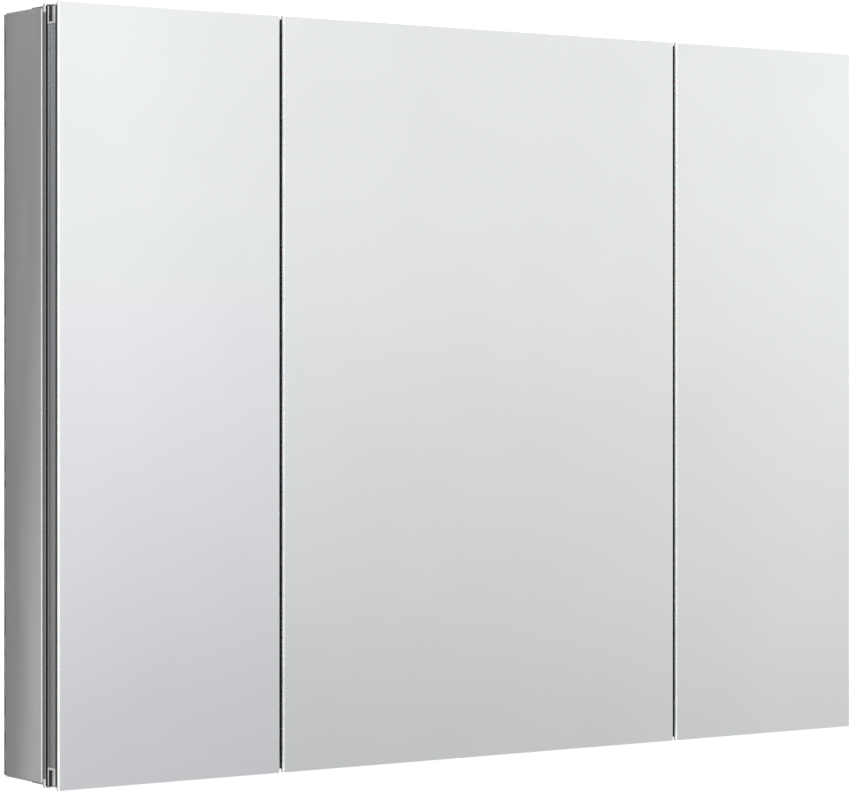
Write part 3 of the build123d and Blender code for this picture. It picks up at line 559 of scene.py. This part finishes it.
collar_low, collar_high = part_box("left_collar")
outer_x, outer_z = cad_box[1].x, cad_box[1].z
collar_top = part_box("top_collar")[1].z
groove_low = (-outer_x + GROOVE_INSET[0], collar_high.y - GROOVE + GROOVE_FIT, -outer_z + GROOVE_INSET[1])
groove_high = (outer_x - GROOVE_INSET[0], collar_high.y - GROOVE_FIT, outer_z - GROOVE_INSET[1])
groove_depth = GROOVE - 2 * GROOVE_FIT
groove_section = [(0, 0), (GROOVE_STRIP, 0), (GROOVE_STRIP, groove_depth), (0, groove_depth)]
groove_rings = plate_rings(groove_low, groove_high, 1, groove_section, STRIP_CORNER)
# painted shade: a black strip in the groove between the body and the collar
make_piece("collar_groove_shade_strip", "root", [groove_rings], [bonding], joined=True)
# painted shade: a black strip on the collar's face, in the gap behind the doors
shade_strip_low = (-outer_x, collar_low.y - SHADE_STRIP_THICK, -collar_top)
shade_strip_high = (outer_x, collar_low.y, collar_top)
shade_strip_rings = plate_rings(shade_strip_low, shade_strip_high, 1, SHADE_STRIP_SECTION, SHADE_STRIP_CORNER)
make_piece("collar_shade_strip", "root", [shade_strip_rings], [painted_gap_shade], joined=True)
# painted shade: black strips on the backs of the door stiles, in the same gap
for door in DOORS:
    edges = [corner.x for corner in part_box(f"{door}_door_mirror")]
    strips = []
    for stile in ("hinge", "free"):
        low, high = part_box(f"{door}_door_{stile}_stile")
        on_left = abs(low.x - edges[0]) < abs(high.x - edges[1])
        start = low.x + SHADE_STRIP_FROM_EDGE if on_left else high.x - SHADE_STRIP_FROM_EDGE - SHADE_STRIP_WIDTH
        near, far = (start, high.y, low.z), (start + SHADE_STRIP_WIDTH, high.y + SHADE_STRIP_THICK, high.z)
        strips.append(plate_rings(near, far, 1, [(0, 0), (0, SHADE_STRIP_THICK)], STRIP_CORNER))
    make_piece(f"{door}_door_shade_strips", f"{door}_door", strips, [painted_gap_shade])

# ---- lip of the side panels, a lighter copy of the body finish as painted highlight ----------
# Section of the lighter skin on the lip, a painted highlight, as (inset from the cabinet's side, depth from
# the wall).
LIP_SECTION = ((1.62 * MM, 80.9 * MM), (1.52 * MM, 80.9 * MM), (1.52 * MM, 82.0 * MM),
               (1.95 * MM, 82.62 * MM), (2.03 * MM, 82.55 * MM), (1.62 * MM, 81.95 * MM))
LIP_SHORT = 0.2 * MM
low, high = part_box("left_side_panel")
lips = []
for side in (-1, 1):
    section = [(side * (outer_x - inset), -depth) for inset, depth in LIP_SECTION]
    ends = (low.z + LIP_SHORT, high.z - LIP_SHORT)
    lips.append(np.array([[(x, y, end) for x, y in section] for end in ends]))
make_piece("side_panel_lips", "root", lips, [lip_painted_highlight])

# ---- bonding beads at the sides of the doors -------------------------------------------------
BEAD_INSET, BEAD_DEEP, BEAD_CORNER = 0.08 * MM, 0.55 * MM, 0.25 * MM
for door in DOORS:
    low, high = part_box(f"{door}_door_gasket")
    edges = [corner.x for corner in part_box(f"{door}_door_mirror")]
    beads = []
    for start in (edges[0] + BEAD_INSET, edges[1] - BEAD_INSET - BEAD_DEEP):
        near, far = (start, low.y, low.z), (start + BEAD_DEEP, high.y, high.z)
        beads.append(plate_rings(near, far, 0, [(0, 0), (0, BEAD_DEEP)], BEAD_CORNER))
    make_piece(f"{door}_door_bonding_beads", f"{door}_door", beads, [bonding])

# ---- dark sheets in the corner pieces' pockets: painted shade --------------------------------
POCKET_DEEP, POCKET_EDGE = 3.2 * MM, 2.6 * MM
POCKET_LONG = 15.2 * MM
SHADE_SHEET, SHADE_SHEET_ACROSS, SHADE_SHEET_GAP = 0.3 * MM, 10.8 * MM, 0.1 * MM
for door in DOORS:
    low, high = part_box(f"{door}_door_corners")
    rear = high.y - POCKET_EDGE - SHADE_SHEET_GAP
    front = rear - SHADE_SHEET_ACROSS
    floors = ((low.x + POCKET_DEEP - SHADE_SHEET, low.x + POCKET_DEEP),
              (high.x - POCKET_DEEP, high.x - POCKET_DEEP + SHADE_SHEET))
    walls = ((low.x + 2 * SHADE_SHEET_GAP, low.x + POCKET_DEEP - SHADE_SHEET),
             (high.x - POCKET_DEEP + SHADE_SHEET, high.x - 2 * SHADE_SHEET_GAP))
    shade_sheets = []
    for end in (-1, 1):
        ends = sorted((end * (high.z - SHADE_SHEET_GAP), end * (high.z - POCKET_LONG)))
        for left, right in floors:
            near, far = (left, front, ends[0]), (right, rear, ends[1])
            shade_sheets.append(plate_rings(near, far, 0, [(0, 0), (0, SHADE_SHEET)], SHADE_SHEET))
        for left, right in walls:
            near, far = (left, rear - SHADE_SHEET, ends[0]), (right, rear, ends[1])
            shade_sheets.append(plate_rings(near, far, 1, [(0, 0), (0, SHADE_SHEET)], SHADE_SHEET / 2))
    make_piece(f"{door}_door_pocket_painted_shade", f"{door}_door", shade_sheets, [painted_pocket_shade])

# ---- glass shelves ---------------------------------------------------------------------------
SHELF = 5.0 * MM
SHELVES_IN_BAY = 3
SHELF_CORNER = 5.0 * MM
FACE, PENCIL_EDGE = 0, 1

turn = np.linspace(-pi / 2, pi / 2, 9)
pencil = np.stack([SHELF / 2 - SHELF / 2 * np.cos(turn), SHELF / 2 + SHELF / 2 * np.sin(turn)], axis=1)
bands = [FACE] + [PENCIL_EDGE] * (len(pencil) - 1) + [FACE]
for bay in DOORS:
    low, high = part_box(f"{bay}_shelves")
    pitch = (high.z - low.z - SHELF) / (SHELVES_IN_BAY - 1)
    shells = []
    for level in range(SHELVES_IN_BAY):
        under = (low.x, low.y, low.z + level * pitch)
        over = (high.x, high.y, under[2] + SHELF)
        shells.append(plate_rings(under, over, 2, pencil, SHELF_CORNER))
    make_piece(f"{bay}_glass_shelves", "root", shells, [shelf_clear, shelf_edge],
               [f"{bay}_shelves"], bands=bands)

# ---- magnet catches --------------------------------------------------------------------------
CATCH_HIGH = 6.2 * MM
CATCH_LONG = 24.0 * MM
HOUSING_CORNER = 1.5 * MM
POLE_THICK = 1.2 * MM
POLE_PROUD = 0.3 * MM
POLE_SHORT = 3.0 * MM  # housing's end to the pole's
POLE_DEEP = 1.5 * MM
POLE_EASE, POLE_CORNER = 0.15 * MM, 0.3 * MM
POLE_HEIGHTS = (0.3, 0.7)  # shares of the housing's height
ROUND = 1.0 * MM
quarter = np.linspace(0, pi / 2, 4)
rounding = [(ROUND * (1 - np.sin(a)), ROUND * (1 - np.cos(a))) for a in quarter]
pole_profile = [(POLE_EASE, 0), (0, POLE_EASE), (0, POLE_DEEP)]
low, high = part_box("magnet_catches")
housings, poles = [], []
for door in DOORS:
    strike_low, strike_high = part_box(f"{door}_door_strikes")
    middle = (strike_low.x + strike_high.x) / 2
    for base in (low.z, high.z - CATCH_HIGH):
        near = (middle - CATCH_LONG / 2, low.y + POLE_PROUD, base)
        far = (middle + CATCH_LONG / 2, high.y, base + CATCH_HIGH)
        housing_profile = rounding + [(0, far[1] - near[1])]
        housings.append(plate_rings(near, far, 1, housing_profile, HOUSING_CORNER))
        for height in POLE_HEIGHTS:
            level = base + height * CATCH_HIGH
            pole_low = (near[0] + POLE_SHORT, low.y, level - POLE_THICK / 2)
            pole_high = (far[0] - POLE_SHORT, low.y + POLE_DEEP, level + POLE_THICK / 2)
            poles.append(plate_rings(pole_low, pole_high, 1, pole_profile, POLE_CORNER))
make_piece("magnet_housings", "root", housings, [housing_abs], ["magnet_catches"])
make_piece("magnet_poles", "root", poles, [nickel])

# ---- floor and studio ------------------------------------------------------------------------
FLOOR_BELOW = 0.72  # the cabinet hangs clear of the floor, as on its wall
FLOOR_HALF = 60.0
PAPER_NEAR, PAPER_FAR = 1.6, 5.0  # where the pale floor starts to run out into the white, and ends
WHITE = 1.05  # strength of the plain white behind everything
PAPER_CLOUD = 0.4  # size of the faint clouds in the paper

lowest = cad_box[0].z - FLOOR_BELOW
floor_mesh = bpy.data.meshes.new("floor")
corners = ((-1, -1), (1, -1), (1, 1), (-1, 1))
floor_mesh.from_pydata([(x * FLOOR_HALF, y * FLOOR_HALF, lowest) for x, y in corners], [], [(0, 1, 2, 3)])
floor = bpy.data.objects.new("floor", floor_mesh)
bpy.context.scene.collection.objects.link(floor)
floor.visible_glossy = False

paper_material, tree = new_material("pale floor paper")
place = add(tree, "TexCoord").outputs["Object"]
flat = add(tree, "VectorMath", {0: place, 1: (1, 1, 0)}, operation="MULTIPLY").outputs[0]
away = add(tree, "VectorMath", {0: flat}, operation="LENGTH").outputs["Value"]
run_out = add(tree, "MapRange", {"Value": away, "From Min": PAPER_NEAR, "From Max": PAPER_FAR},
              interpolation_type="SMOOTHSTEP").outputs[0]
paper = add(tree, "BsdfDiffuse", {"Color": tones(tree, grain(tree, PAPER_CLOUD), "F4F4F3", "F8F8F7")})
white = add(tree, "Emission", {"Color": (1, 1, 1, 1), "Strength": WHITE})
mixed = add(tree, "MixShader", {0: run_out, 1: paper.outputs[0], 2: white.outputs[0]})
add(tree, "OutputMaterial", {"Surface": mixed.outputs[0]})
floor_mesh.materials.append(paper_material)

# The studio is drawn on the sky by direction: a soft wall of light that falls off towards the floor in
# front of the cabinet, lighter to both sides, and a shaded corner behind it on the left, which the side
# panel mirrors.
RISE_LOW, RISE_HIGH = -0.13, 0.10
FALL_OFF = ((-0.13, 0.60), (-0.0996, 0.642), (-0.0706, 0.702), (-0.0415, 0.750), (-0.0123, 0.798),
            (0.017, 0.849), (0.046, 0.884), (0.10, 0.915))
ACROSS = (0.82, 0.5726, 0.0)  # level direction that runs across the front light
ACROSS_MIDDLE = 0.016
SIDE_LIFT, SIDE_LIFT_MOST = 8.3, 0.095
LOW_FROM, LOW_FULL = -0.02, -0.09  # rise over which the middle of the lift moves by the shift
LOW_SHIFT = -0.022
TINT = (1.01, 0.99, 1.04, 1)  # faint violet of one side of the studio, below the middle
TINT_RISE, TINT_SIDE = (0.045, 0.0), (-0.036, -0.048)
FRONT = (0.566, -0.824, 0.0)
FRONT_EDGE, FRONT_FULL = 0.3, 0.75  # cosine to the front where the wall of light starts and is complete
REST_TONE = 0.88  # the studio away from the front light
SHADED_CORNER = (-0.50, 0.866, 0.0)
SHADED_EDGE, SHADED_FULL = 0.3, 0.97  # cosine to the corner where the shade starts and is complete
SHADED = 0.72  # how much of the light the shaded corner loses

world = bpy.data.worlds.new("studio")
bpy.context.scene.world = world
world.use_nodes = True
tree = world.node_tree
tree.nodes.clear()
sky = add(tree, "TexCoord").outputs["Generated"]
rise = add(tree, "SeparateXYZ", {0: sky}).outputs["Z"]
share = add(tree, "MapRange", {"Value": rise, "From Min": RISE_LOW, "From Max": RISE_HIGH}).outputs[0]
ramp = add(tree, "ValToRGB", {"Fac": share})
stops = ramp.color_ramp.elements
while len(stops) < len(FALL_OFF):
    stops.new(0.5)
for stop, (height, value) in zip(stops, FALL_OFF):
    stop.position = (height - RISE_LOW) / (RISE_HIGH - RISE_LOW)
    stop.color = (value, value, value, 1)
across = add(tree, "VectorMath", {0: sky, 1: ACROSS}, operation="DOT_PRODUCT").outputs["Value"]
low_share = add(tree, "MapRange", {"Value": rise, "From Min": LOW_FROM, "From Max": LOW_FULL}).outputs[0]
shift = {0: low_share, 1: LOW_SHIFT, 2: ACROSS_MIDDLE}
middle = add(tree, "Math", shift, operation="MULTIPLY_ADD").outputs[0]
off = add(tree, "Math", {0: across, 1: middle}, operation="SUBTRACT").outputs[0]
squared = add(tree, "Math", {0: off, 1: off}, operation="MULTIPLY").outputs[0]
lift = add(tree, "Math", {0: squared, 1: SIDE_LIFT}, operation="MULTIPLY").outputs[0]
capped = add(tree, "Math", {0: lift, 1: SIDE_LIFT_MOST}, operation="MINIMUM").outputs[0]
lifted = add(tree, "Math", {0: capped, 1: 1.0}, operation="ADD").outputs[0]
facing = add(tree, "VectorMath", {0: sky, 1: FRONT}, operation="DOT_PRODUCT").outputs["Value"]
ahead = add(tree, "MapRange", {"Value": facing, "From Min": FRONT_EDGE, "From Max": FRONT_FULL},
            interpolation_type="SMOOTHSTEP").outputs[0]
base = add(tree, "Mix", {0: ahead, 2: REST_TONE, 3: ramp.outputs[0]}).outputs[0]
corner = add(tree, "VectorMath", {0: sky, 1: SHADED_CORNER}, operation="DOT_PRODUCT").outputs["Value"]
shade = add(tree, "MapRange", {"Value": corner, "From Min": SHADED_EDGE, "From Max": SHADED_FULL,
                               "To Min": 1.0, "To Max": 1.0 - SHADED},
            interpolation_type="SMOOTHSTEP").outputs[0]
level = add(tree, "Math", {0: lifted, 1: shade}, operation="MULTIPLY").outputs[0]
strength = add(tree, "Math", {0: base, 1: level}, operation="MULTIPLY").outputs[0]
tint_low, tint_side = (
    add(tree, "MapRange", {"Value": value, "From Min": start, "From Max": full}).outputs[0]
    for value, (start, full) in ((rise, TINT_RISE), (across, TINT_SIDE))
)
tint_corner = add(tree, "Math", {0: tint_low, 1: tint_side}, operation="MULTIPLY").outputs[0]
tint_share = add(tree, "Math", {0: tint_corner, 1: ahead}, operation="MULTIPLY").outputs[0]
tint = add(tree, "Mix", {0: tint_share, 6: (1, 1, 1, 1), 7: TINT}, data_type="RGBA").outputs[2]
studio = add(tree, "Background", {"Color": tint, "Strength": strength})
backdrop = add(tree, "Background", {"Color": (1, 1, 1, 1), "Strength": WHITE})
seen = add(tree, "LightPath").outputs["Is Camera Ray"]
both = add(tree, "MixShader", {0: seen, 1: studio.outputs[0], 2: backdrop.outputs[0]})
add(tree, "OutputWorld", {"Surface": both.outputs[0]})


def soft_light(name, place, target, size, power):
    """Rectangular soft box at a place, facing a target; it lights and reflects but isn't seen itself."""
    data = bpy.data.lights.new(name, "AREA")
    data.shape = "RECTANGLE"
    data.size, data.size_y = size
    data.energy = power
    lamp = bpy.data.objects.new(name, data)
    bpy.context.scene.collection.objects.link(lamp)
    lamp.location = place
    lamp.rotation_euler = (Vector(target) - Vector(place)).to_track_quat("-Z", "Y").to_euler()
    lamp.visible_camera = False


soft_light("soft box, front left", (-1.5, -1.5, 0.9), (-0.4, 0, 0.1), (0.9, 0.9), 9)
soft_light("card beside the left panel", (-0.605, 0.045, 0.05), (-0.505, -0.14, 0.05), (0.08, 1.1), 0.14)
soft_light("card, far left", (-2.3, -0.55, 0.1), (-0.5, -0.08, 0.1), (0.25, 2.2), 2.5)
soft_light("soft box, overhead", (0.2, -0.9, 2.2), (0, 0, 0), (2.2, 1.2), 22)

# ---- camera ----------------------------------------------------------------------------------
IMAGE_WIDTH, IMAGE_HEIGHT = 852, 798
SENSOR = 36.0
LENS = 144.3
HORIZON = 358.3  # row of the frame that is level with the lens
CAMERA_PLACE = (-2.101, -3.019, 0.0362)
CAMERA_TURN = radians(-34.92)

camera_data = bpy.data.cameras.new("camera")
camera_data.sensor_width = SENSOR
camera_data.lens = LENS
camera_data.shift_y = (HORIZON - IMAGE_HEIGHT / 2) / IMAGE_WIDTH
camera_data.clip_end = 200
camera = bpy.data.objects.new("camera", camera_data)
bpy.context.scene.collection.objects.link(camera)
camera.location = CAMERA_PLACE
camera.rotation_euler = (pi / 2, 0, CAMERA_TURN)
bpy.context.scene.camera = camera
bpy.context.scene.view_settings.view_transform = "Standard"
